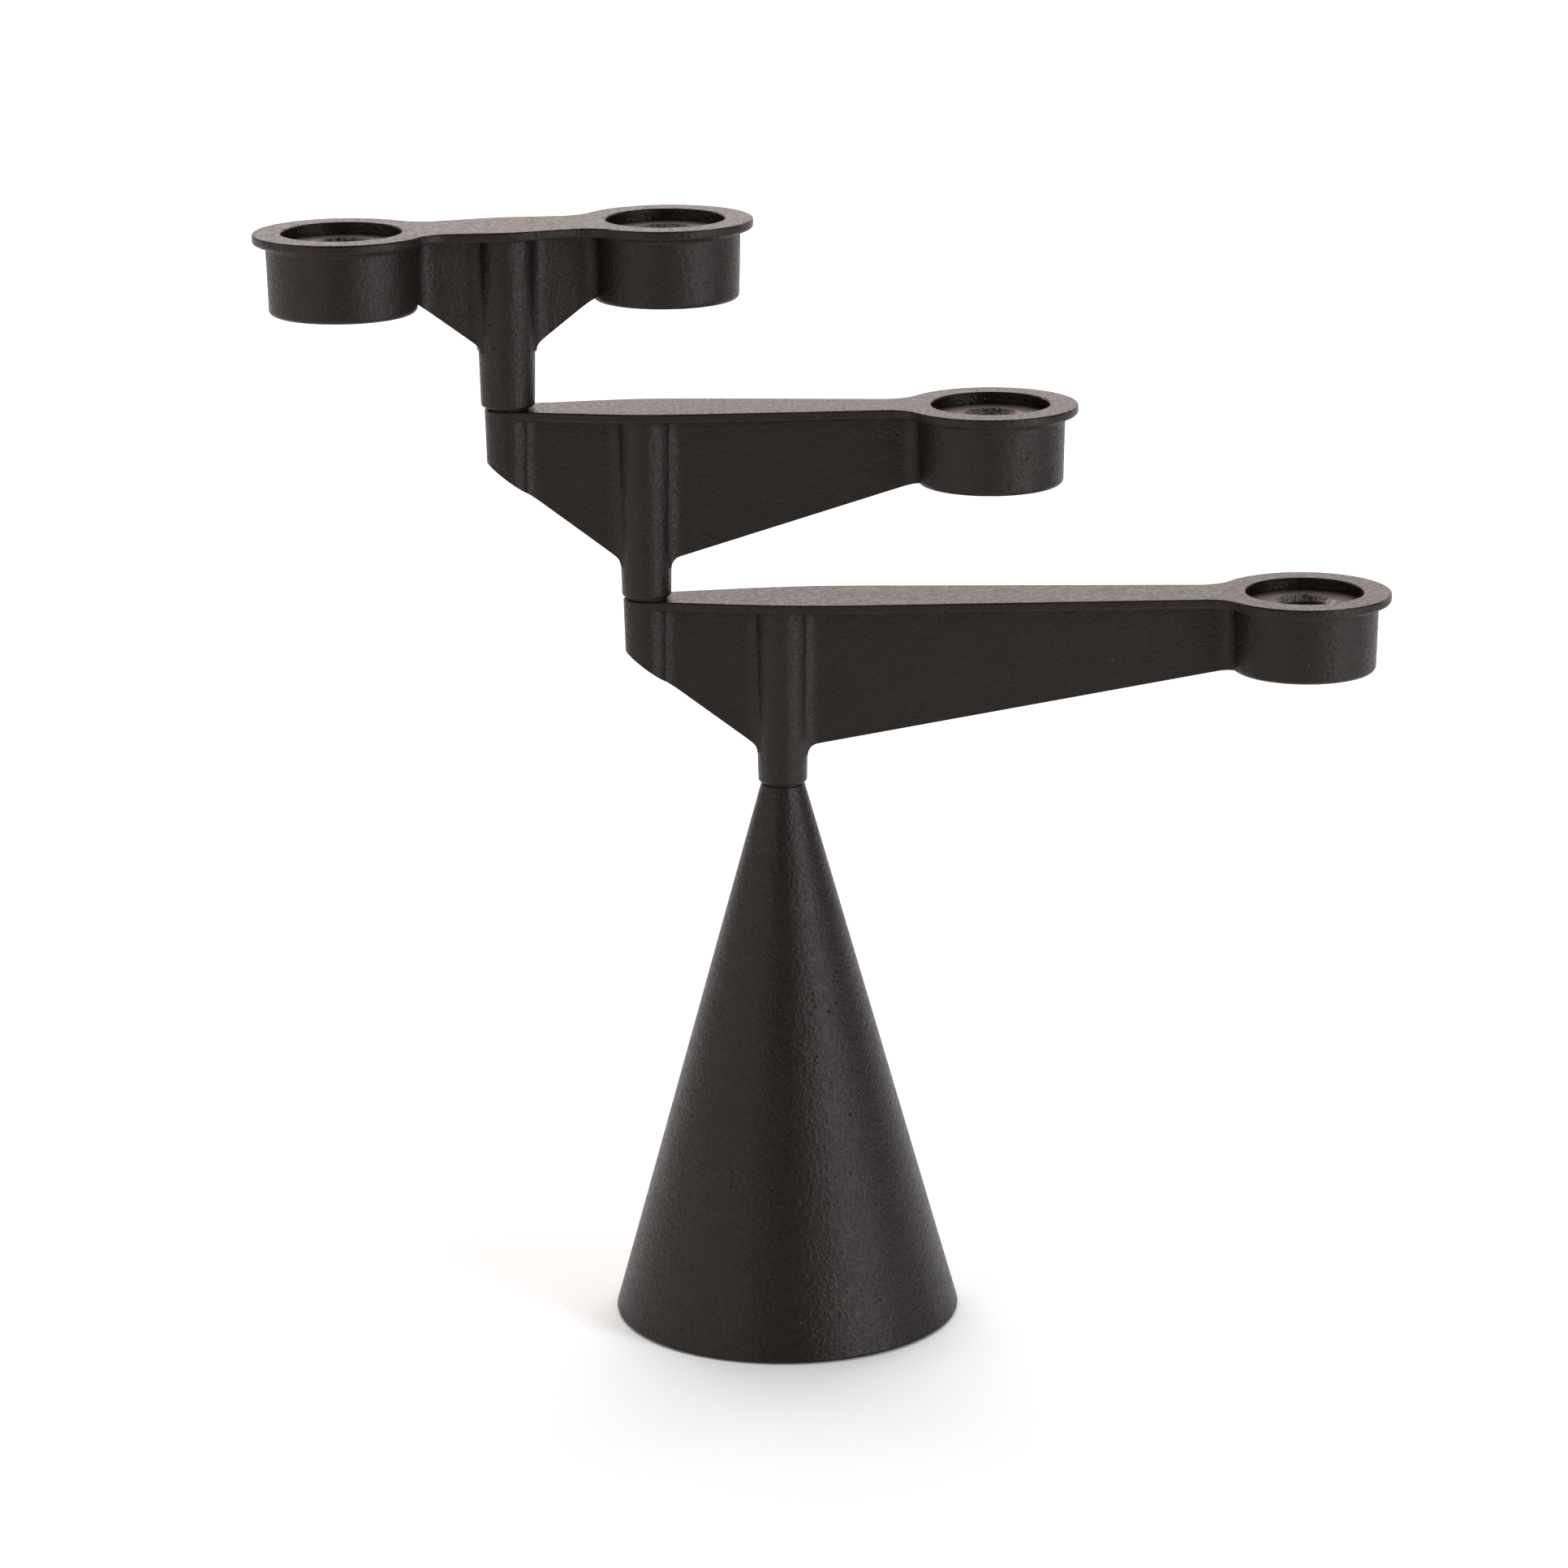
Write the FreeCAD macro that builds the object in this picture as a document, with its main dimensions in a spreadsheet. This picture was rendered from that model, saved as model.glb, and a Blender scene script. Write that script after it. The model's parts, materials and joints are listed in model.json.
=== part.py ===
"""Tabletop candelabra: a cast iron cone that carries three swinging cast iron arms.

Each arm turns on a steel pin that stands in the end of the piece below it. The lower and the
middle arm hold one candle cup each, and the top arm holds two. Frame: origin at the middle of
the foot, +Z up, lower arm along +X. Sizes are in millimetres.
"""
import FreeCAD, Part
import os
import Sketcher
from FreeCAD import Vector

os.makedirs("parts", exist_ok=True)
doc = FreeCAD.newDocument("candelabra")

# ------------------------------------------------------------------ driving dimensions
SIZES = [
    ("base_radius", 60.4, "radius of the cone at its foot"),
    ("cone_height", 190.6, "height of the iron cone"),
    ("cone_top_radius", 7.55, "radius of the flat on top of the cone"),
    ("foot_round", 0.9, "rounding of the lower edge of the cone"),
    ("nose_round", 0.3, "rounding of the upper edge of the cone"),
    ("cavity_radius", 50.0, "radius of the hollow at the foot"),
    ("cavity_top_radius", 14.0, "radius of the hollow at its upper end"),
    ("nose_length", 62.0, "solid iron above the hollow"),
    ("pad_radius", 55.0, "radius of the felt pad"),
    ("pad_thick", 2.0, "thickness of the felt pad"),
    ("pad_proud", 0.4, "how far the felt stands below the iron"),
    ("pad_clear", 0.3, "radial room round the felt pad"),
    ("pin_radius", 4.0, "radius of the stud and of both pivot pins"),
    ("pin_reach", 42.0, "length of pin that stands in the arm above"),
    ("pin_seat", 17.0, "depth of the pin in the end boss"),
    ("pin_chamfer", 0.8, "chamfer on the pin ends"),
    ("stud_tail", 13.0, "length of stud below the solid nose"),
    ("nut_flats", 13.0, "nut size across the flats"),
    ("nut_height", 6.5, "height of the nut"),
    ("nut_washer_radius", 8.5, "outer radius of the washer under the nut"),
    ("nut_washer_thick", 1.6, "thickness of the washer under the nut"),
    ("hole_clear", 0.2, "radial room round a bolt or pin in a plain hole"),
    ("washer_thick", 0.8, "thickness of a thrust washer, and the gap at a pivot"),
    ("washer_radius", 6.9, "outer radius of a thrust washer"),
    ("bush_wall", 1.5, "wall of a pivot bush"),
    ("bush_length", 38.0, "length of a pivot bush"),
    ("bush_clear", 0.05, "radial running room between bush and pin"),
    ("bore_depth", 45.0, "depth of the pivot bore in an arm"),
    ("draft", 1.3, "casting draft in degrees"),
    ("stem_radius", 8.4, "radius of the lower and middle stem at its lower end"),
    ("top_stem_radius", 9.15, "radius of the top stem at its lower end"),
    ("stem_round", 1.0, "rounding of the lower edge of a stem"),
    ("lower_height", 65.2, "plate top to stem foot, lower arm"),
    ("middle_height", 65.4, "plate top to stem foot, middle arm"),
    ("top_height", 61.6, "plate top to stem foot, top arm"),
    ("lower_reach", 178.9, "stem axis to cup axis, lower arm"),
    ("middle_reach", 117.3, "stem axis to cup axis, middle arm"),
    ("top_reach", 55.0, "stem axis to either cup axis, top arm"),
    ("end_reach", 45.9, "stem axis to the next pivot axis"),
    ("top_turn", 12.0, "top arm turned anticlockwise at rest, in degrees"),
    ("plate_thick", 3.4, "thickness of the top plate"),
    ("plate_over", 0.6, "rounding of the plate's upper edge"),
    ("plate_under", 1.2, "rounding of the plate's lower edge"),
    ("flange_over", 4.35, "how far the plate stands out round a cup"),
    ("neck_round", 13.0, "concave blend from the plate to the cup flange"),
    ("lower_crest", 16.1, "half width of the lower plate's widest corner"),
    ("lower_crest_place", 7.0, "that corner's distance from the stem axis"),
    ("lower_crest_round", 200.0, "rounding of that corner"),
    ("lower_neck", 10.6, "half width of the lower plate at the cup flange"),
    ("middle_crest", 15.7, "half width of the middle plate's widest corner"),
    ("middle_crest_place", 0.5, "that corner's distance from the stem axis"),
    ("middle_crest_round", 125.0, "rounding of that corner"),
    ("middle_neck", 8.0, "half width of the middle plate at the cup flange"),
    ("top_crest", 17.2, "half width of the top plate's widest corner"),
    ("top_crest_round", 30.0, "rounding of that corner"),
    ("top_neck", 10.6, "half width of the top plate at a cup flange"),
    ("end_radius", 8.0, "radius of the end boss that holds the next pin"),
    ("end_depth", 18.0, "depth of the end boss at its outer side"),
    ("web_thick", 6.4, "thickness of the web at the plate"),
    ("web_flare", 6.5, "blend from the web to a boss or cup"),
    ("flare_sink", 0.2, "how far that blend runs into the boss or cup"),
    ("stem_show", 12.9, "bare stem below the web, lower and middle arm"),
    ("top_stem_show", 20.8, "bare stem below the web, top arm"),
    ("web_cup_depth", 26.5, "depth of the web where it meets a cup, lower and middle arm"),
    ("top_web_cup_depth", 25.6, "depth of the web where it meets a cup, top arm"),
    ("web_cove", 3.8, "blend from the web's lower edge to the stem"),
    ("cup_wall", 5.15, "iron between the recess and the outside of a cup"),
    ("cup_depth", 27.2, "plate top to the underside of a cup"),
    ("cup_draft", 1.5, "draft of the cup wall in degrees"),
    ("cup_round", 1.7, "rounding of the cup's lower edge"),
    ("cup_cove", 1.8, "blend from the cup wall to the plate"),
    ("recess_radius", 20.25, "radius of the tea light recess"),
    ("recess_depth", 3.65, "depth of the tea light recess"),
    ("recess_chamfer", 0.4, "chamfer round the recess"),
    ("socket_radius", 9.0, "radius of the candle socket"),
    ("socket_depth", 18.0, "depth of the candle socket below the recess"),
    ("socket_chamfer", 1.8, "chamfer round the candle socket"),
]

sheet = doc.addObject("Spreadsheet::Sheet", "Sizes")
for row, (alias, size, note) in enumerate(SIZES, start=1):
    sheet.set(f"A{row}", alias)
    sheet.set(f"B{row}", str(size))
    sheet.set(f"C{row}", note)
    sheet.setAlias(f"B{row}", alias)
doc.recompute()


def cell(alias):
    """The expression that reads one size from the sheet."""
    return f"Sizes.{alias}"


def number(expression):
    """The value that an expression of sheet sizes has now."""
    return float(sheet.evalExpression(str(expression).replace("Sizes.", "")))


# ------------------------------------------------------------------ heights in the whole object
CONE_TOP = f"({cell('pad_proud')} + {cell('cone_height')})"
NOSE_FLOOR = f"({CONE_TOP} - {cell('nose_length')})"
LOWER_TOP = f"({CONE_TOP} + {cell('washer_thick')} + {cell('lower_height')})"
MIDDLE_TOP = f"({LOWER_TOP} + {cell('washer_thick')} + {cell('middle_height')})"
TOP_TOP = f"({MIDDLE_TOP} + {cell('washer_thick')} + {cell('top_height')})"
MIDDLE_AXIS = f"-{cell('end_reach')}"
TOP_AXIS = f"-2 * {cell('end_reach')}"
CUP_RADIUS = f"({cell('recess_radius')} + {cell('cup_wall')})"
FLANGE_RADIUS = f"({CUP_RADIUS} + {cell('flange_over')})"
ROOM_BEYOND = 10.0      # how far a cut runs past the solid that it cuts


# ------------------------------------------------------------------ sketch and feature helpers
def new_body(label, x="0", z="0", turn=None):
    """A body named for its sub-part, placed by expressions of the sheet's sizes."""
    body = doc.addObject("PartDesign::Body", label)
    body.Label = label
    body.setExpression(".Placement.Base.x", x)
    body.setExpression(".Placement.Base.z", z)
    if turn:
        body.setExpression(".Placement.Rotation.Angle", turn)
    return body


def new_sketch(body, role, name, across="0", up="0"):
    """A sketch on one of the body's own origin planes, shifted in or off that plane."""
    sketch = body.newObject("Sketcher::SketchObject", name)
    plane = next(item for item in body.Origin.OriginFeatures if item.Role == role)
    sketch.AttachmentSupport = [(plane, "")]
    sketch.MapMode = "FlatFace"
    sketch.setExpression("AttachmentOffset.Base.x", across)
    sketch.setExpression("AttachmentOffset.Base.z", up)
    return sketch


def fix(sketch, kind, geometry, point, expression):
    """Hold one coordinate or radius at an expression."""
    size = number(expression)
    if kind == "Radius":
        index = sketch.addConstraint(Sketcher.Constraint(kind, geometry, size))
    elif abs(size) < 1e-9:
        axis = -2 if kind == "DistanceX" else -1
        sketch.addConstraint(Sketcher.Constraint("PointOnObject", geometry, point, axis))
        return
    else:
        index = sketch.addConstraint(Sketcher.Constraint(kind, geometry, point, size))
    sketch.setExpression(f"Constraints[{index}]", str(expression))


def arc_between(start, end, radius, turn):
    """The shorter arc from start to end. turn is +1 anticlockwise and -1 clockwise."""
    middle = (start + end) * 0.5
    chord = end - start
    side = Vector(-chord.y, chord.x, 0) * (turn / chord.Length)
    centre = middle + side * max(radius ** 2 - chord.Length ** 2 / 4, 0) ** 0.5
    first, last = (start, end) if turn > 0 else (end, start)
    x_axis = Vector(1, 0, 0)
    angles = []
    for point in (first, last):
        spoke = point - centre
        angle = x_axis.getAngle(spoke)
        angles.append(angle if spoke.y >= 0 else -angle)
    circle = Part.Circle(centre, Vector(0, 0, 1), radius)
    return Part.ArcOfCircle(circle, angles[0], angles[1])


def draw_outline(sketch, corners):
    """A closed outline. Each corner is (x, y) or (x, y, radius, turn): an arc to the next one."""
    points = [Vector(number(corner[0]), number(corner[1]), 0) for corner in corners]
    ends = []
    for index, corner in enumerate(corners):
        start = points[index]
        end = points[(index + 1) % len(points)]
        if len(corner) == 2:
            geometry = sketch.addGeometry(Part.LineSegment(start, end), False)
            ends.append((geometry, 1, 2))
        else:
            arc = arc_between(start, end, number(corner[2]), corner[3])
            geometry = sketch.addGeometry(arc, False)
            ends.append((geometry, 1, 2) if corner[3] > 0 else (geometry, 2, 1))
    for index, corner in enumerate(corners):
        geometry, begin, _ = ends[index]
        before, _, finish = ends[index - 1]
        sketch.addConstraint(Sketcher.Constraint("Coincident", before, finish, geometry, begin))
        fix(sketch, "DistanceX", geometry, begin, corner[0])
        fix(sketch, "DistanceY", geometry, begin, corner[1])
        if len(corner) > 2:
            fix(sketch, "Radius", geometry, None, corner[2])


def draw_circle(sketch, radius, across="0"):
    """A circle whose centre is on the sketch's horizontal axis."""
    circle = Part.Circle(Vector(number(across), 0, 0), Vector(0, 0, 1), number(radius))
    geometry = sketch.addGeometry(circle, False)
    fix(sketch, "DistanceX", geometry, 3, across)
    sketch.addConstraint(Sketcher.Constraint("PointOnObject", geometry, 3, -1))
    fix(sketch, "Radius", geometry, None, radius)


def pad(body, sketch, name, length, down=False, taper=None):
    """Raise a sketch from its plane, upward or downward."""
    feature = body.newObject("PartDesign::Pad", name)
    feature.Profile = sketch
    feature.setExpression("Length", length)
    feature.Reversed = down
    if taper:
        feature.setExpression("TaperAngle", taper)
    return feature


def turned(body, kind, name, corners, across="0"):
    """A Revolution or a Groove of an outline drawn in radius and height, about an upright axis."""
    sketch = new_sketch(body, "XZ_Plane", f"{name}_profile", across)
    draw_outline(sketch, corners)
    feature = body.newObject(f"PartDesign::{kind}", name)
    feature.Profile = sketch
    feature.ReferenceAxis = (sketch, ["V_Axis"])
    feature.Angle = 360.0
    return feature


def round_edges(body, name, radius, wanted):
    """A fillet on each edge of the body so far that wanted() accepts."""
    doc.recompute()
    base = body.Tip
    names = [f"Edge{index}" for index, edge in enumerate(base.Shape.Edges, start=1) if wanted(edge)]
    feature = body.newObject("PartDesign::Fillet", name)
    feature.Base = (base, names)
    feature.setExpression("Radius", radius)
    return feature


def upright_edge(x, y):
    """Accepts an upright edge near (x, y) or its mirror image across the X axis."""
    def wanted(edge):
        ends = [vertex.Point for vertex in edge.Vertexes]
        if len(ends) < 2 or abs(ends[0].x - ends[1].x) + abs(ends[0].y - ends[1].y) > 1e-6:
            return False
        return abs(ends[0].x - x) + abs(abs(ends[0].y) - y) < 1.0
    return wanted


def level_edge(z):
    """Accepts an edge that lies wholly at height z."""
    def wanted(edge):
        box = edge.BoundBox
        return abs(box.ZMin - z) + abs(box.ZMax - z) < 1e-6
    return wanted


# ------------------------------------------------------------------ the arms' shared shapes
def drafted(radius, above):
    """The radius of a stem at a height above its foot."""
    return f"({radius} + ({above}) * tan({cell('draft')}))"


def plate(body, reach, crest, place, crest_round, neck, both_ways):
    """The flat top of an arm: a long plate that ends in a round flange about each cup."""
    sketch = new_sketch(body, "XY_Plane", "plate_outline")
    if both_ways:
        far = [(reach, neck), ("0", crest), (f"-{reach}", neck), (f"-{reach}", f"-{neck}"),
               ("0", f"-{crest}"), (reach, f"-{neck}")]
    else:
        end_x = f"-{cell('end_reach')}"
        end_y = f"{cell('end_radius')} - {cell('plate_over')}"
        far = [(reach, neck), (place, crest), (end_x, end_y), (end_x, f"-({end_y})"),
               (place, f"-{crest}"), (reach, f"-{neck}")]
    draw_outline(sketch, far)
    pad(body, sketch, "plate", cell("plate_thick"), down=True)
    corner = upright_edge(number(place), number(crest))
    round_edges(body, "crest_blend", crest_round, corner)

    # the flange about each cup, blended into the plate where the two outlines cross
    gap, side = crossing(reach, crest, place, neck)
    for name, away in cups_of(reach, both_ways):
        ring = new_sketch(body, "XY_Plane", f"{name}_flange_outline")
        draw_circle(ring, FLANGE_RADIUS, away)
        pad(body, ring, f"{name}_flange", cell("plate_thick"), down=True)
        toward_stem = -1 if number(away) > 0 else 1
        notch = upright_edge(number(away) + toward_stem * gap, side)
        round_edges(body, f"{name}_neck_blend", cell("neck_round"), notch)
    round_edges(body, "plate_upper_round", cell("plate_over"), level_edge(0.0))
    under = level_edge(-number(cell("plate_thick")))
    round_edges(body, "plate_lower_round", cell("plate_under"), under)


def crossing(reach, crest, place, neck):
    """Where a plate's straight side crosses a cup flange: how far from the cup axis, and how wide."""
    start, radius = number(neck), number(FLANGE_RADIUS)
    slope = (number(crest) - start) / (number(reach) - number(place))
    steep = 1 + slope ** 2
    gap = (((start * slope) ** 2 - steep * (start ** 2 - radius ** 2)) ** 0.5 - start * slope) / steep
    return gap, start + slope * gap


def cups_of(reach, both_ways):
    """The name and place of each cup of an arm."""
    if both_ways:
        return [("left_cup", f"-{reach}"), ("right_cup", reach)]
    return [("cup", reach)]


def web(body, name, left, right, height):
    """An upright rib from one boss axis to the next, flared where it comes out of each boss.

    left and right are (place of the boss axis, boss radius) with left nearer to -X.
    """
    half = f"{cell('web_thick')} / 2"
    rise = f"({half} + {cell('web_flare')})"
    left_root, right_root = left[0], right[0]
    sides = []
    for (place, radius), way in ((left, "+"), (right, "-")):
        sunk = f"({radius} - {cell('flare_sink')})"
        spread = f"({sunk} + {cell('web_flare')})"
        run = f"sqrt({spread} ^ 2 - {rise} ^ 2)"
        touch = f"{sunk} / {spread}"
        sides.append((f"{place} {way} {run} * {touch}", f"{rise} * {touch}",
                      f"{place} {way} {run}"))
    (left_touch, left_rise, left_start), (right_touch, right_rise, right_start) = sides
    flare = cell("web_flare")
    sketch = new_sketch(body, "XY_Plane", f"{name}_outline", up=f"-{cell('plate_thick')} / 2")
    draw_outline(sketch, [
        (left_touch, left_rise, flare, 1),
        (left_start, half),
        (right_start, half, flare, 1),
        (right_touch, right_rise),
        (right_root, half),
        (right_root, f"-{half}"),
        (right_touch, f"-({right_rise})", flare, 1),
        (right_start, f"-{half}"),
        (left_start, f"-{half}", flare, 1),
        (left_touch, f"-({left_rise})"),
        (left_root, f"-{half}"),
        (left_root, half),
    ])
    pad(body, sketch, name, height, down=True, taper=f"-{cell('draft')}")


def cove(boss, depth, slope, way):
    """Where the web's lower edge bends down into a stem. way is -1 on the left, +1 on the right.

    The lower edge falls by slope for each millimetre toward the stem, and it would meet the
    stem's side at the given depth. Returns the arc's end on the edge, and its end on the stem.
    """
    radius = cell("web_cove")
    slant = f"sqrt(1 + ({slope}) ^ 2)"
    level = f"(-{depth} + {radius} * ({slope}) - {radius} * {slant})"
    edge_x = f"{way} * ({boss} + {radius} - {radius} * ({slope}) / {slant})"
    edge_z = f"{level} + {radius} / {slant}"
    return (edge_x, edge_z), (f"{way} * {boss}", level)


def undercut(body, reach, stem, height, depth, cup_depth, both_ways):
    """Cut the webs to their sloping lower edges, with a cove at the stem."""
    boss = drafted(stem, f"{height} - {depth}")
    cup_slope = f"({depth} - {cup_depth}) / ({reach} - {CUP_RADIUS} - {boss})"
    right_edge, right_stem = cove(boss, depth, cup_slope, "1")
    right_out = f"-{depth} + ({cup_slope}) * ({reach} - {boss})"
    if both_ways:
        left_edge, left_stem = cove(boss, depth, cup_slope, "-1")
        left_x = f"-{reach}"
        left_out = right_out
    else:
        outer = f"({cell('end_reach')} + {cell('end_radius')})"
        end_slope = f"({depth} - {cell('end_depth')}) / ({outer} - {boss})"
        left_edge, left_stem = cove(boss, depth, end_slope, "-1")
        left_x = f"-({outer} + {ROOM_BEYOND})"
        left_out = f"-{cell('end_depth')} + ({end_slope}) * {ROOM_BEYOND}"
    bottom = f"-({height} + {ROOM_BEYOND})"
    sketch = new_sketch(body, "XZ_Plane", "undercut_outline")
    draw_outline(sketch, [
        (left_x, left_out),
        (*left_edge, cell("web_cove"), -1),
        left_stem,
        (*right_stem, cell("web_cove"), -1),
        right_edge,
        (reach, right_out),
        (reach, bottom),
        (left_x, bottom),
    ])
    feature = body.newObject("PartDesign::Pocket", "undercut")
    feature.Profile = sketch
    feature.Type = "ThroughAll"
    feature.SideType = "Symmetric"


def end_boss(body, deep):
    """The round boss at the short end of an arm, before the sloping undercut."""
    radius = cell("end_radius")
    over = cell("plate_over")
    turned(body, "Revolution", "end_boss", [
        ("0", "0"),
        (f"{radius} - {over}", "0", over, -1),
        (radius, f"-{over}"),
        (f"{radius} - ({deep} - {over}) * tan({cell('draft')})", f"-{deep}"),
        ("0", f"-{deep}"),
    ], across=f"-{cell('end_reach')}")


def stem_boss(body, radius, height):
    """The tapered stem that stands on the piece below."""
    start = f"{cell('plate_thick')} / 2"
    edge = cell("stem_round")
    turned(body, "Revolution", "stem", [
        ("0", f"-{start}"),
        (drafted(radius, f"{height} - {start}"), f"-{start}"),
        (drafted(radius, edge), f"-({height} - {edge})", edge, -1),
        (f"{drafted(radius, edge)} - {edge}", f"-{height}"),
        ("0", f"-{height}"),
    ])


def cup(body, name, place):
    """A candle cup below the plate: its outside, tea light recess and candle socket."""
    radius = CUP_RADIUS
    bend = cell("cup_cove")
    edge = cell("cup_round")
    thick = cell("plate_thick")
    depth = cell("cup_depth")
    shrink = f"({depth} - {thick} - {bend} - {edge}) * tan({cell('cup_draft')})"
    turned(body, "Revolution", name, [
        ("0", f"-{thick} / 2"),
        (f"{radius} + {bend}", f"-{thick} / 2"),
        (f"{radius} + {bend}", f"-{thick}", bend, 1),
        (radius, f"-({thick} + {bend})"),
        (f"{radius} - {shrink}", f"-({depth} - {edge})", edge, -1),
        (f"{radius} - {shrink} - {edge}", f"-{depth}"),
        ("0", f"-{depth}"),
    ], across=place)


def candle_hole(body, name, place):
    """The shallow tea light recess with the candle socket in its floor."""
    recess = cell("recess_radius")
    rim = cell("recess_chamfer")
    ledge = cell("recess_depth")
    socket = cell("socket_radius")
    bevel = cell("socket_chamfer")
    above = "1"
    turned(body, "Groove", f"{name}_hole", [
        ("0", above),
        (f"{recess} + {rim} + {above}", above),
        (recess, f"-{rim}"),
        (recess, f"-{ledge}"),
        (f"{socket} + {bevel}", f"-{ledge}"),
        (socket, f"-({ledge} + {bevel})"),
        (socket, f"-({ledge} + {cell('socket_depth')})"),
        ("0", f"-({ledge} + {cell('socket_depth')})"),
    ], across=place)


def pivot_bore(body, height):
    """The bore up the stem: wide for the bush, then plain for the pin's tip."""
    wide = f"{cell('pin_radius')} + {cell('bush_clear')} + {cell('bush_wall')}"
    plain = f"{cell('pin_radius')} + {cell('hole_clear')}"
    turned(body, "Groove", "pivot_bore", [
        ("0", f"-({height} + 1)"),
        (wide, f"-({height} + 1)"),
        (wide, f"-({height} - {cell('bush_length')})"),
        (plain, f"-({height} - {cell('bush_length')})"),
        (plain, f"-({height} - {cell('bore_depth')})"),
        ("0", f"-({height} - {cell('bore_depth')})"),
    ])


def pin_hole(body):
    """The blind hole in the end boss that the next pivot pin is pressed into."""
    radius = cell("pin_radius")
    turned(body, "Groove", "pin_hole", [
        ("0", "1"),
        (radius, "1"),
        (radius, f"-{cell('pin_seat')}"),
        ("0", f"-{cell('pin_seat')}"),
    ], across=f"-{cell('end_reach')}")


def arm(label, x, z, reach, stem, height, webs, plate_sizes, both_ways=False, turn=None):
    """One cast iron arm. Its own origin is on its stem axis at the top of its plate.

    webs is (bare stem below the web, depth of the web where it meets a cup).
    """
    show, cup_depth = webs
    depth = f"({height} - {show})"
    body = new_body(label, x, z, turn)
    plate(body, reach, *plate_sizes, both_ways)
    thick = f"{cell('plate_thick')} / 2"
    stem_top = drafted(stem, f"{height} - {thick}")
    deep = f"{depth} + {ROOM_BEYOND}"
    cup_boss = (reach, CUP_RADIUS)
    if both_ways:
        web(body, "left_web", (f"-{reach}", CUP_RADIUS), ("0", stem_top), deep)
    else:
        end_boss(body, depth)
        web(body, "short_web", (f"-{cell('end_reach')}", cell("end_radius")), ("0", stem_top), deep)
    web(body, "right_web" if both_ways else "long_web", ("0", stem_top), cup_boss, deep)
    undercut(body, reach, stem, height, depth, cup_depth, both_ways)
    stem_boss(body, stem, height)
    for name, place in cups_of(reach, both_ways):
        cup(body, name, place)
    for name, place in cups_of(reach, both_ways):
        candle_hole(body, name, place)
    pivot_bore(body, height)
    if not both_ways:
        pin_hole(body)
    return body


# ------------------------------------------------------------------ turned and stamped pieces
def ring(label, inner, outer, thick, x="0", z="0"):
    """A flat washer or a plain bush that stands on its own origin."""
    body = new_body(label, x, z)
    sketch = new_sketch(body, "XY_Plane", "ring_outline")
    draw_circle(sketch, outer)
    draw_circle(sketch, inner)
    pad(body, sketch, "ring", thick)


def rod(label, low, high, x="0", z="0"):
    """A round steel pin with a chamfer at each end, from low to high about its origin."""
    body = new_body(label, x, z)
    radius = cell("pin_radius")
    bevel = cell("pin_chamfer")
    turned(body, "Revolution", "rod", [
        ("0", low),
        (f"{radius} - {bevel}", low),
        (radius, f"{low} + {bevel}"),
        (radius, f"{high} - {bevel}"),
        (f"{radius} - {bevel}", high),
        ("0", high),
    ])


def thrust_washer(label, x, z):
    """The dark nylon washer that two pieces turn against."""
    inner = f"{cell('pin_radius')} + {cell('hole_clear')}"
    ring(label, inner, cell("washer_radius"), cell("washer_thick"), x, z)


def bush(label, x, z):
    """The bronze bush pressed into an arm's stem."""
    inner = f"{cell('pin_radius')} + {cell('bush_clear')}"
    ring(label, inner, f"{inner} + {cell('bush_wall')}", cell("bush_length"), x, z)


# ------------------------------------------------------------------ the base
def base_cone():
    """The hollow iron cone, solid at its nose, with a recess for the felt."""
    body = new_body("base_cone", z=cell("pad_proud"))
    foot = cell("base_radius")
    top = cell("cone_top_radius")
    high = cell("cone_height")
    slope = f"(({foot} - {top}) / {high})"
    low_round = cell("foot_round")
    high_round = cell("nose_round")
    turned(body, "Revolution", "cone", [
        ("0", "0"),
        (f"{foot} - {low_round} * (1 + {slope} / 2)", "0", low_round, 1),
        (f"{foot} - {low_round} * {slope}", low_round),
        (f"{top} + {high_round} * {slope}", f"{high} - {high_round}", high_round, 1),
        (f"{top} - {high_round} * (1 - {slope})", high),
        ("0", high),
    ])
    recess = f"{cell('pad_radius')} + {cell('pad_clear')}"
    roof = f"({cell('pad_thick')} - {cell('pad_proud')})"
    inside = f"{high} - {cell('nose_length')}"
    turned(body, "Groove", "hollow", [
        ("0", "-1"),
        (recess, "-1"),
        (recess, roof),
        (cell("cavity_radius"), roof),
        (cell("cavity_top_radius"), inside),
        ("0", inside),
    ])
    turned(body, "Groove", "stud_bore", [
        ("0", f"{inside} - 1"),
        (cell("pin_radius"), f"{inside} - 1"),
        (cell("pin_radius"), f"{high} + 1"),
        ("0", f"{high} + 1"),
    ])


def base_pad():
    """The felt disc under the foot."""
    body = new_body("base_pad")
    sketch = new_sketch(body, "XY_Plane", "pad_outline")
    draw_circle(sketch, cell("pad_radius"))
    pad(body, sketch, "felt", cell("pad_thick"))


def stud_nut():
    """The hexagon nut that draws the stud down inside the cone."""
    low = f"{NOSE_FLOOR} - {cell('nut_washer_thick')} - {cell('nut_height')}"
    body = new_body("stud_nut", z=low)
    sketch = new_sketch(body, "XY_Plane", "nut_outline")
    corners = [(f"{cell('nut_flats')} / sqrt(3) * cos({60 * side})",
                f"{cell('nut_flats')} / sqrt(3) * sin({60 * side})") for side in range(6)]
    draw_outline(sketch, corners)
    draw_circle(sketch, cell("pin_radius"))
    pad(body, sketch, "nut", cell("nut_height"))


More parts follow.
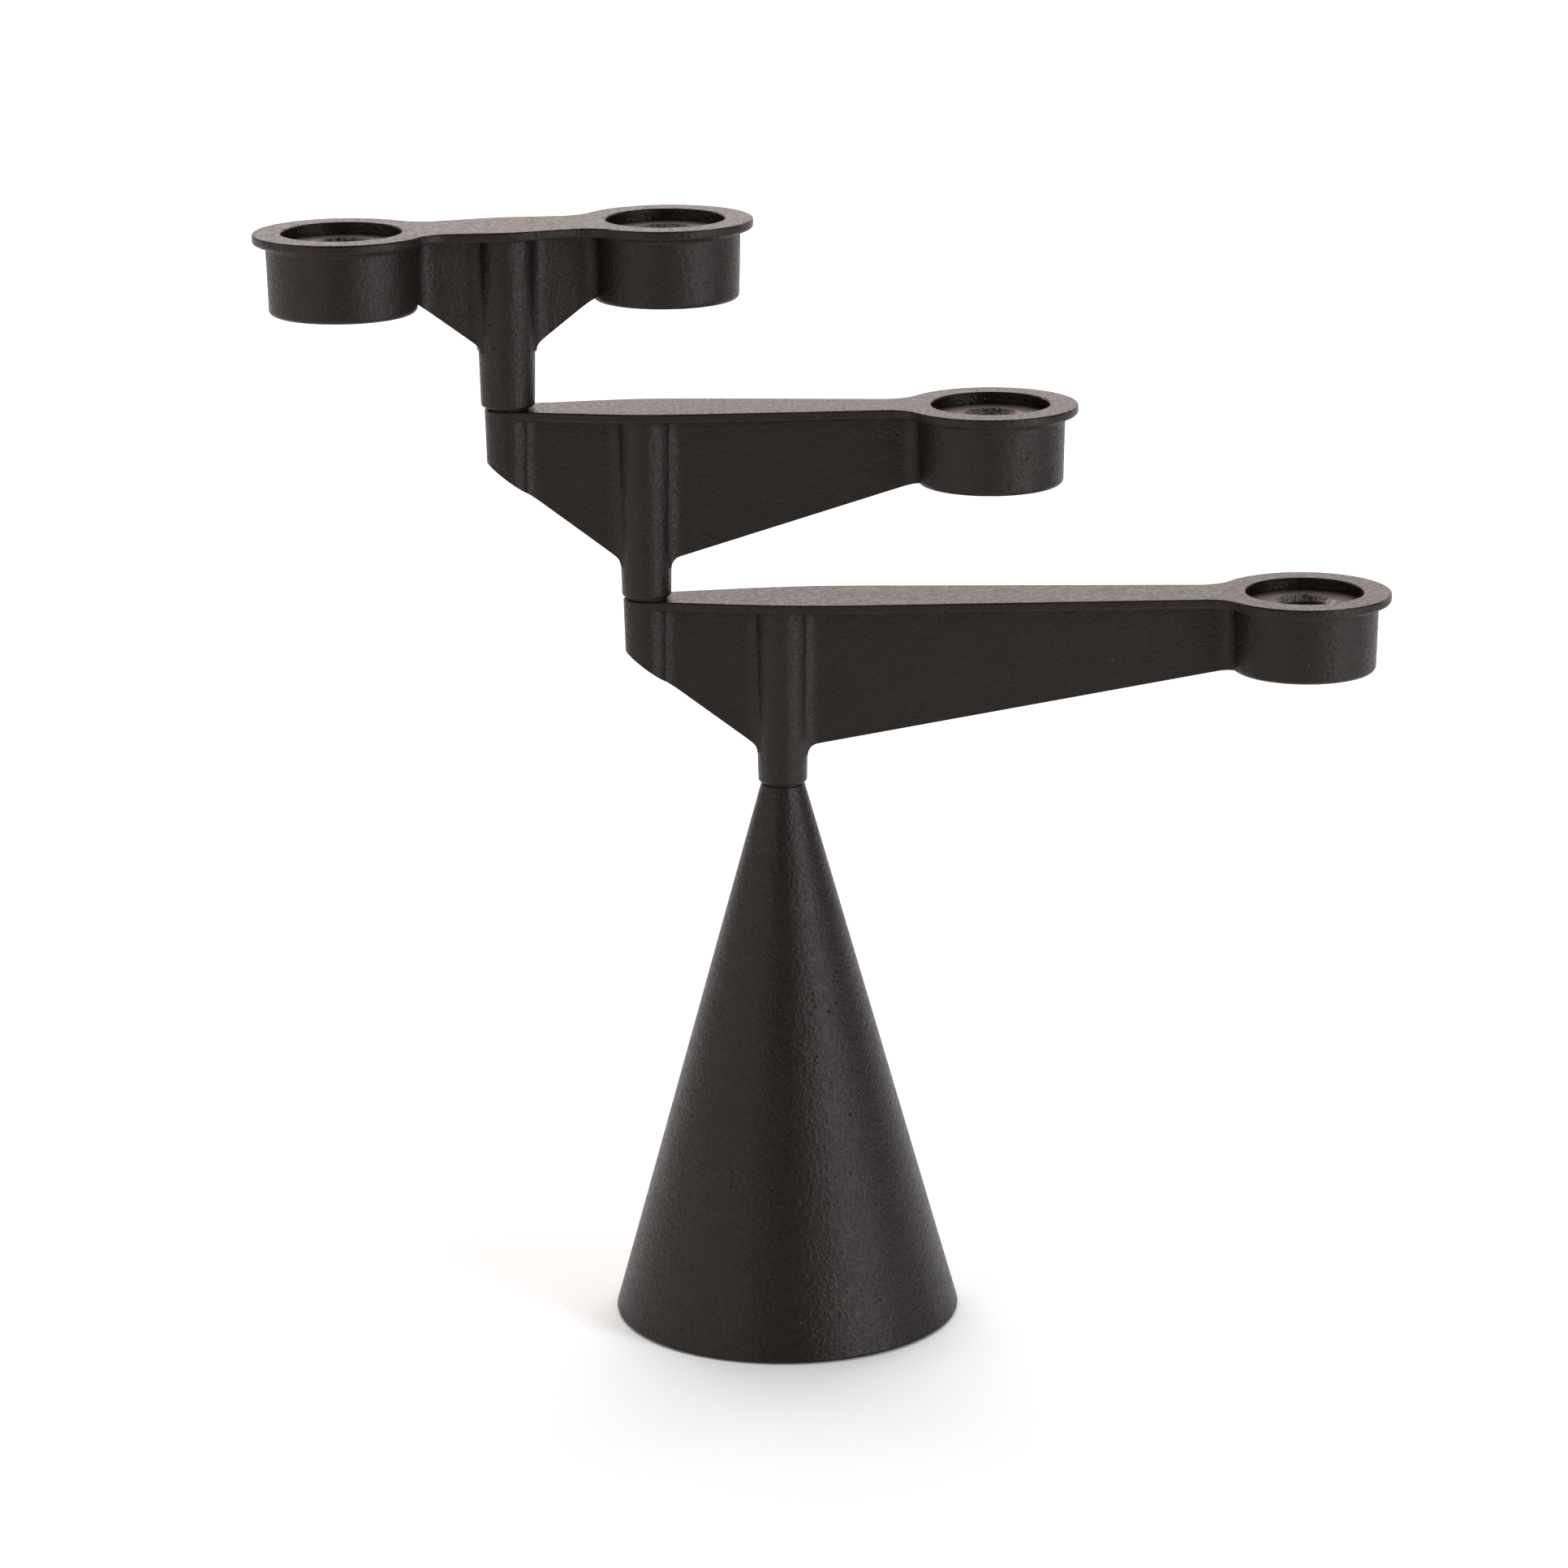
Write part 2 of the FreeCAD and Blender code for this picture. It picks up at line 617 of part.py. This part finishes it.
# ------------------------------------------------------------------ the assembly
base_cone()
base_pad()
rod("base_stud", f"-{cell('stud_tail')}", f"{cell('nose_length')} + {cell('pin_reach')}",
    z=NOSE_FLOOR)
ring("stud_washer", f"{cell('pin_radius')} + {cell('hole_clear')}", cell("nut_washer_radius"),
     cell("nut_washer_thick"), z=f"{NOSE_FLOOR} - {cell('nut_washer_thick')}")
stud_nut()

LONG_STEM = cell("stem_radius")
LONG_WEBS = (cell("stem_show"), cell("web_cup_depth"))
TOP_WEBS = (cell("top_stem_show"), cell("top_web_cup_depth"))
LOWER_PLATE = (cell("lower_crest"), cell("lower_crest_place"), cell("lower_crest_round"),
               cell("lower_neck"))
MIDDLE_PLATE = (cell("middle_crest"), cell("middle_crest_place"), cell("middle_crest_round"),
                cell("middle_neck"))
TOP_PLATE = (cell("top_crest"), "0", cell("top_crest_round"), cell("top_neck"))
arm("lower_arm", "0", LOWER_TOP, cell("lower_reach"), LONG_STEM, cell("lower_height"),
    LONG_WEBS, LOWER_PLATE)
arm("middle_arm", MIDDLE_AXIS, MIDDLE_TOP, cell("middle_reach"), LONG_STEM,
    cell("middle_height"), LONG_WEBS, MIDDLE_PLATE)
arm("top_arm", TOP_AXIS, TOP_TOP, cell("top_reach"), cell("top_stem_radius"),
    cell("top_height"), TOP_WEBS, TOP_PLATE, both_ways=True, turn=cell("top_turn"))

PIVOTS = [
    ("lower", "0", CONE_TOP),
    ("middle", MIDDLE_AXIS, LOWER_TOP),
    ("top", TOP_AXIS, MIDDLE_TOP),
]
for which, axis, seat in PIVOTS:
    thrust_washer(f"{which}_thrust_washer", axis, seat)
    bush(f"{which}_bush", axis, f"{seat} + {cell('washer_thick')}")
    if which != "lower":
        rod(f"{which}_pivot_pin", f"-{cell('pin_seat')}", cell("pin_reach"), axis, seat)

# ------------------------------------------------------------------ checks, then one STEP each
doc.recompute()
broken = [item.Label for item in doc.Objects if "Invalid" in item.State or "Error" in item.State]
if broken:
    raise RuntimeError(f"features that failed: {broken}")
sub_parts = [item for item in doc.Objects if item.TypeId == "PartDesign::Body"]
for item in sub_parts:
    if item.Shape.isNull() or not item.Shape.isValid() or len(item.Shape.Solids) != 1:
        raise RuntimeError(f"{item.Label} is not one valid solid")
for item in sub_parts:
    item.Shape.exportStep(f"parts/{item.Label}.step")
    box = item.Shape.BoundBox
    print(f"{item.Label}: {item.Shape.Volume / 1000:.1f} cm3, "
          f"{box.XLength:.1f} x {box.YLength:.1f} x {box.ZLength:.1f} mm, top {box.ZMax:.1f}")
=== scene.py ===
import json
import math

import bpy
from mathutils import Matrix, Vector

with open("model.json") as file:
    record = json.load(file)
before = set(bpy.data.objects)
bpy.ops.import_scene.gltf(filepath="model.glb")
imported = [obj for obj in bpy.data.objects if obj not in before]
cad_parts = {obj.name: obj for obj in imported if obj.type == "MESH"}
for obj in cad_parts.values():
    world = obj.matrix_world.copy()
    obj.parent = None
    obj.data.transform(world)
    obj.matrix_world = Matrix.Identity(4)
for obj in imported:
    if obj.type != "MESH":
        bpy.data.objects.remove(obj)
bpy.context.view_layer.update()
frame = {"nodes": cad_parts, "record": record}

MM = 0.001                # one millimetre, in metres

# ---------------------------------------------------------------- camera
CAMERA_AT = (-0.00475, -1.76458, 0.66733)
CAMERA_YAW = 0.167        # degrees to the right of +Y
CAMERA_PITCH = 15.123     # degrees below the horizon
CAMERA_ROLL = -0.511      # degrees
LENS_MM = 121.656
SENSOR_MM = 36.0
CLIP_NEAR = 0.05
CLIP_FAR = 60.0

# ---------------------------------------------------------------- light
WORLD_COLOUR = (1.0, 0.985, 0.97, 1.0)
WORLD_LEVEL = 0.004
AIM = (0.0, 0.0, 0.20)    # about the middle of the object
# name, place, aim, width, height, watts, colour, seen in gloss
LIGHTS = (
    ("overhead_fill", (0.0, 1.5, 3.2), (0.0, 0.9, 0.0), 5.0, 4.5, 164.0, (1.0, 0.985, 0.97), False),
    ("back_low", (0.0, 5.2, 0.85), (0.0, 0.0, 0.6), 8.6, 1.1, 48.0, (1.0, 0.885, 0.855), True),
    ("back_mid", (0.0, 5.2, 2.2), (0.0, 0.0, 0.6), 8.6, 1.6, 123.0, (1.0, 0.885, 0.855), True),
    ("back_high", (0.0, 3.6, 3.5), (0.0, 0.0, 0.3), 6.0, 1.8, 71.0, (1.0, 0.9, 0.87), True),
    ("right_softbox", (1.62, -1.18, 0.75), AIM, 0.60, 1.50, 31.0, (0.93, 0.96, 1.0), True),
    ("left_wing", (-2.3, -0.2, 0.8), AIM, 1.40, 1.60, 12.0, (1.0, 0.93, 0.90), True),
    ("left_front", (-1.6, -1.9, 0.8), AIM, 1.20, 1.60, 16.0, (1.0, 0.93, 0.88), True),
)


def aimed(place, target):
    """The matrix of a light at place whose -Z looks at target."""
    ahead = (Vector(target) - Vector(place)).normalized()
    return Matrix.Translation(place) @ ahead.to_track_quat("-Z", "Y").to_matrix().to_4x4()


def make_camera():
    yaw = math.radians(CAMERA_YAW)
    pitch = math.radians(CAMERA_PITCH)
    roll = math.radians(CAMERA_ROLL)
    level = math.cos(pitch)
    ahead = Vector((math.sin(yaw) * level, math.cos(yaw) * level, -math.sin(pitch)))
    right = Vector((math.cos(yaw), -math.sin(yaw), 0.0))
    up = right.cross(ahead)
    across = math.cos(roll) * right + math.sin(roll) * up
    above = -math.sin(roll) * right + math.cos(roll) * up
    turn = Matrix((across, above, -ahead)).transposed().to_4x4()
    data = bpy.data.cameras.new("camera")
    data.lens = LENS_MM
    data.sensor_width = SENSOR_MM
    data.sensor_fit = "HORIZONTAL"
    data.clip_start = CLIP_NEAR
    data.clip_end = CLIP_FAR
    camera = bpy.data.objects.new("camera", data)
    camera.matrix_world = Matrix.Translation(CAMERA_AT) @ turn
    bpy.context.scene.collection.objects.link(camera)
    bpy.context.scene.camera = camera


def make_lights():
    world = bpy.data.worlds.new("studio")
    world.use_nodes = True
    back = world.node_tree.nodes["Background"]
    back.inputs["Color"].default_value = WORLD_COLOUR
    back.inputs["Strength"].default_value = WORLD_LEVEL
    bpy.context.scene.world = world
    for name, place, target, width, height, watts, colour, gloss in LIGHTS:
        data = bpy.data.lights.new(name, "AREA")
        data.shape = "RECTANGLE"
        data.size = width
        data.size_y = height
        data.energy = watts
        data.color = colour
        light = bpy.data.objects.new(name, data)
        light.matrix_world = aimed(place, target)
        light.visible_camera = False
        light.visible_glossy = gloss
        bpy.context.scene.collection.objects.link(light)


# ---------------------------------------------------------------- materials
BEVEL_RISE = 0.0018       # height and width of the bevel round a candle socket
BEVEL_STRETCH = 6.0       # heights count this much more than widths in the reach of the painted highlight
BEVEL_BLUR = 0.0001       # the painted highlight fades out over twice this distance

COAT_DARK = (0.0050, 0.0031, 0.0024)
COAT_LIGHT = (0.0074, 0.0045, 0.0035)
COAT_SPECK = (0.0018, 0.0011, 0.0009)     # in the hollows of the grain
COAT_TINT = (1.0, 0.91, 0.86, 1.0)        # of the coat's gloss
# painted highlight: a light metallic colour on the socket bevels that makes them look lit
BEVEL_HIGHLIGHT = (0.30, 0.27, 0.25)
PITS_PER_METRE = 210.0

FLOOR_SIZE = 14.0
FLOOR_COLOUR = (0.87, 0.882, 0.89)
FLOOR_MOTTLE = 0.01       # how much darker the floor's darkest patches are

# The colour sockets of a Mix node share their names with its other sockets, so these are their numbers.
MIX_AMOUNT = 0
MIX_FIRST = 6
MIX_SECOND = 7
MIX_RESULT = 2


def opaque(colour):
    """A plain colour with its alpha; a socket stays as it is."""
    return (*colour, 1.0) if isinstance(colour, tuple) else colour


class Nodes:
    """A short way to write a material's nodes: each call adds nodes and links or sets their inputs."""

    def __init__(self, name):
        self.material = bpy.data.materials.new(name)
        self.material.use_nodes = True
        self.tree = self.material.node_tree
        self.surface = self.tree.nodes["Principled BSDF"]
        self.place = self.add("TexCoord").outputs["Object"]

    def put(self, socket, value):
        """Links value to the socket if it is another node's output, and else sets the socket to it."""
        if isinstance(value, bpy.types.NodeSocket):
            self.tree.links.new(value, socket)
        else:
            socket.default_value = value

    def add(self, kind, settings=None, **inputs):
        node = self.tree.nodes.new("ShaderNode" + kind)
        for key, value in (settings or {}).items():
            setattr(node, key, value)
        for key, value in inputs.items():
            self.put(node.inputs[key.replace("_", " ")], value)
        return node

    def noise(self, size, detail=2.0, rough=0.5, finer=None):
        """Noise from 0 to 1 whose lumps are about size metres across.

        finer gives how many times smaller than that they are along x, y and z.
        """
        place = self.place
        if finer:
            place = self.add("Mapping", Vector=place, Scale=finer).outputs["Vector"]
        node = self.add("TexNoise", Vector=place, Scale=1.0 / size, Detail=detail, Roughness=rough)
        return node.outputs["Fac"]

    def spread(self, value, low, high, to_low, to_high):
        """value's range low to high taken to to_low to to_high, and held at those two past its ends."""
        node = self.add("MapRange", Value=value, From_Min=low, From_Max=high)
        self.put(node.inputs["To Min"], to_low)
        self.put(node.inputs["To Max"], to_high)
        return node.outputs["Result"]

    def stretched(self, amount):
        """The place with its height stretched by amount."""
        node = self.add("VectorMath", {"operation": "MULTIPLY"})
        self.put(node.inputs[0], self.place)
        self.put(node.inputs[1], (1.0, 1.0, amount))
        return node.outputs["Vector"]

    def distance(self, place, centre):
        node = self.add("VectorMath", {"operation": "DISTANCE"})
        self.put(node.inputs[0], place)
        self.put(node.inputs[1], centre)
        return node.outputs["Value"]

    def maths(self, operation, first, second):
        node = self.add("Math", {"operation": operation})
        self.put(node.inputs[0], first)
        self.put(node.inputs[1], second)
        return node.outputs["Value"]

    def mixed(self, amount, first, second):
        """The first colour where amount is 0, and the second where it is 1."""
        node = self.add("Mix", {"data_type": "RGBA"})
        self.put(node.inputs[MIX_AMOUNT], amount)
        self.put(node.inputs[MIX_FIRST], opaque(first))
        self.put(node.inputs[MIX_SECOND], opaque(second))
        return node.outputs[MIX_RESULT]

    def bump(self, height, depth, normal=None):
        """The normal of a surface raised by depth metres where height is 1, on top of an earlier normal."""
        node = self.add("Bump", Height=height, Distance=depth, Strength=1.0)
        if normal:
            self.put(node.inputs["Normal"], normal)
        return node.outputs["Normal"]

    def finish(self, colour, roughness, normal, metallic=0.0, specular=0.5):
        self.put(self.surface.inputs["Base Color"], colour)
        self.put(self.surface.inputs["Roughness"], roughness)
        self.put(self.surface.inputs["Normal"], normal)
        self.put(self.surface.inputs["Metallic"], metallic)
        self.surface.inputs["Specular IOR Level"].default_value = specular
        return self.material


def bevel_highlight_mask(nodes):
    """1 on the bevel round each candle socket and 0 elsewhere, by the record's socket mounts: where a
    highlight is painted.

    The bevel lies within one distance of its own middle on the socket's axis, because heights are
    stretched first. The sockets are all of one size.
    """
    sockets = [mount for mount in frame["record"]["mounts"] if mount["name"].endswith("_socket")]
    place = nodes.stretched(BEVEL_STRETCH)
    nearest = None
    for mount in sockets:
        x, y, z = mount["pos_m"]
        middle = z + mount["dims"]["length_mm"] / 2 * MM + BEVEL_RISE / 2
        away = nodes.distance(place, (x, y, middle * BEVEL_STRETCH))
        nearest = away if nearest is None else nodes.maths("MINIMUM", nearest, away)
    bevel_radius = sockets[0]["dims"]["r_mm"] * MM + BEVEL_RISE
    outer = math.hypot(bevel_radius, BEVEL_RISE / 2 * BEVEL_STRETCH)
    return nodes.spread(nearest, outer - BEVEL_BLUR, outer + BEVEL_BLUR, 1.0, 0.0)


def cast_iron():
    """Sand-cast iron under a thin brown-black coat: fine grain, slow waves and a few shallow pits.

    The bevel of each candle socket carries a painted highlight: a light, metallic colour that makes it look
    lit.
    """
    nodes = Nodes("cast_iron")
    grain = nodes.noise(size=0.0014, detail=3.0, rough=0.65)
    waves = nodes.noise(size=0.010, detail=2.0, rough=0.5)
    patches = nodes.noise(size=0.022, detail=4.0, rough=0.6)
    cells = nodes.add("TexVoronoi", {"feature": "F1"}, Vector=nodes.place, Scale=PITS_PER_METRE)
    holes = nodes.spread(cells.outputs["Distance"], 0.05, 0.16, 1.0, 0.0)
    where = nodes.spread(nodes.noise(size=0.016, detail=1.0), 0.52, 0.60, 0.0, 1.0)
    pits = nodes.maths("MULTIPLY", holes, where)
    tone = nodes.mixed(nodes.spread(patches, 0.35, 0.65, 0.0, 1.0), COAT_DARK, COAT_LIGHT)
    coat = nodes.mixed(nodes.spread(grain, 0.30, 0.46, 1.0, 0.0), tone, COAT_SPECK)
    # painted highlight on the socket bevels, speckled by the grain; the same mask makes them metallic
    bevel_glint = nodes.maths("MULTIPLY", bevel_highlight_mask(nodes), nodes.spread(grain, 0.36, 0.50, 0.25, 1.0))
    colour = nodes.mixed(bevel_glint, coat, BEVEL_HIGHLIGHT)
    roughness = nodes.spread(grain, 0.35, 0.65, 0.50, 0.31)
    normal = nodes.bump(waves, 0.00030)
    normal = nodes.bump(nodes.maths("MULTIPLY", pits, -1.0), 0.00028, normal)
    normal = nodes.bump(grain, 0.00042, normal)
    made = nodes.finish(colour, roughness, normal, metallic=bevel_glint, specular=0.31)
    nodes.surface.inputs["Specular Tint"].default_value = COAT_TINT
    return made


def brushed_steel():
    """Bright steel with fine level lines and darker stains."""
    nodes = Nodes("bright_steel")
    lines = nodes.noise(size=0.0006, detail=3.0, rough=0.6, finer=(1.0, 1.0, 14.0))
    stain = nodes.noise(size=0.004, detail=3.0, rough=0.6)
    colour = nodes.mixed(nodes.spread(stain, 0.4, 0.7, 0.0, 1.0), (0.46, 0.45, 0.43), (0.30, 0.28, 0.26))
    roughness = nodes.spread(lines, 0.3, 0.7, 0.28, 0.46)
    return nodes.finish(colour, roughness, nodes.bump(lines, 0.00001), metallic=1.0)


def bearing_bronze():
    """Sintered bronze with fine pores and darker stains."""
    nodes = Nodes("bearing_bronze")
    pores = nodes.noise(size=0.0007, detail=3.0, rough=0.7)
    stain = nodes.noise(size=0.005, detail=3.0, rough=0.6)
    colour = nodes.mixed(nodes.spread(stain, 0.4, 0.7, 0.0, 1.0), (0.50, 0.31, 0.14), (0.33, 0.19, 0.08))
    roughness = nodes.spread(pores, 0.3, 0.7, 0.32, 0.50)
    return nodes.finish(colour, roughness, nodes.bump(pores, 0.00002), metallic=1.0)


def black_nylon():
    """Black nylon with a fine moulded skin."""
    nodes = Nodes("black_nylon")
    skin = nodes.noise(size=0.0005, detail=2.0, rough=0.5)
    tint = nodes.noise(size=0.003, detail=2.0, rough=0.5)
    colour = nodes.mixed(tint, (0.006, 0.006, 0.006), (0.011, 0.010, 0.010))
    roughness = nodes.spread(skin, 0.3, 0.7, 0.50, 0.62)
    return nodes.finish(colour, roughness, nodes.bump(skin, 0.00002), specular=0.3)


def wool_felt():
    """Black wool felt: short fibres that lie along x, clumps, and a soft sheen."""
    nodes = Nodes("wool_felt")
    fibres = nodes.noise(size=0.0006, detail=4.0, rough=0.75, finer=(1.0, 2.6, 1.0))
    clumps = nodes.noise(size=0.004, detail=3.0, rough=0.6)
    share = nodes.spread(clumps, 0.35, 0.65, 0.0, 1.0)
    colour = nodes.mixed(share, (0.010, 0.009, 0.009), (0.022, 0.020, 0.019))
    roughness = nodes.spread(fibres, 0.3, 0.7, 0.85, 1.0)
    made = nodes.finish(colour, roughness, nodes.bump(fibres, 0.00025), specular=0.2)
    nodes.surface.inputs["Sheen Weight"].default_value = 0.3
    nodes.surface.inputs["Sheen Roughness"].default_value = 0.5
    return made


def white_floor():
    """A matt white floor with very faint, wide patches."""
    nodes = Nodes("studio_floor")
    tint = nodes.noise(size=0.5, detail=2.0)
    darkest = tuple(level - FLOOR_MOTTLE for level in FLOOR_COLOUR)
    colour = nodes.mixed(tint, FLOOR_COLOUR, darkest)
    return nodes.finish(colour, 1.0, nodes.bump(tint, 0.0001), specular=0.0)


def paint_nodes():
    """Gives every CAD node the material of the slot that the record names for it."""
    made = {
        "black_iron": cast_iron(),
        "steel": brushed_steel(),
        "bronze": bearing_bronze(),
        "nylon": black_nylon(),
        "felt": wool_felt(),
    }
    for row in frame["record"]["subparts"]:
        data = frame["nodes"][row["node"]].data
        data.materials.clear()
        data.materials.append(made[row["material_slot"]])


def make_floor():
    half = FLOOR_SIZE / 2
    corners = [(-half, -half, 0), (half, -half, 0), (half, half, 0), (-half, half, 0)]
    mesh = bpy.data.meshes.new("floor")
    mesh.from_pydata(corners, [], [(0, 1, 2, 3)])
    mesh.materials.append(white_floor())
    floor = bpy.data.objects.new("floor", mesh)
    bpy.context.scene.collection.objects.link(floor)


make_camera()
make_lights()
make_floor()
paint_nodes()
bpy.context.scene.view_settings.view_transform = "Standard"
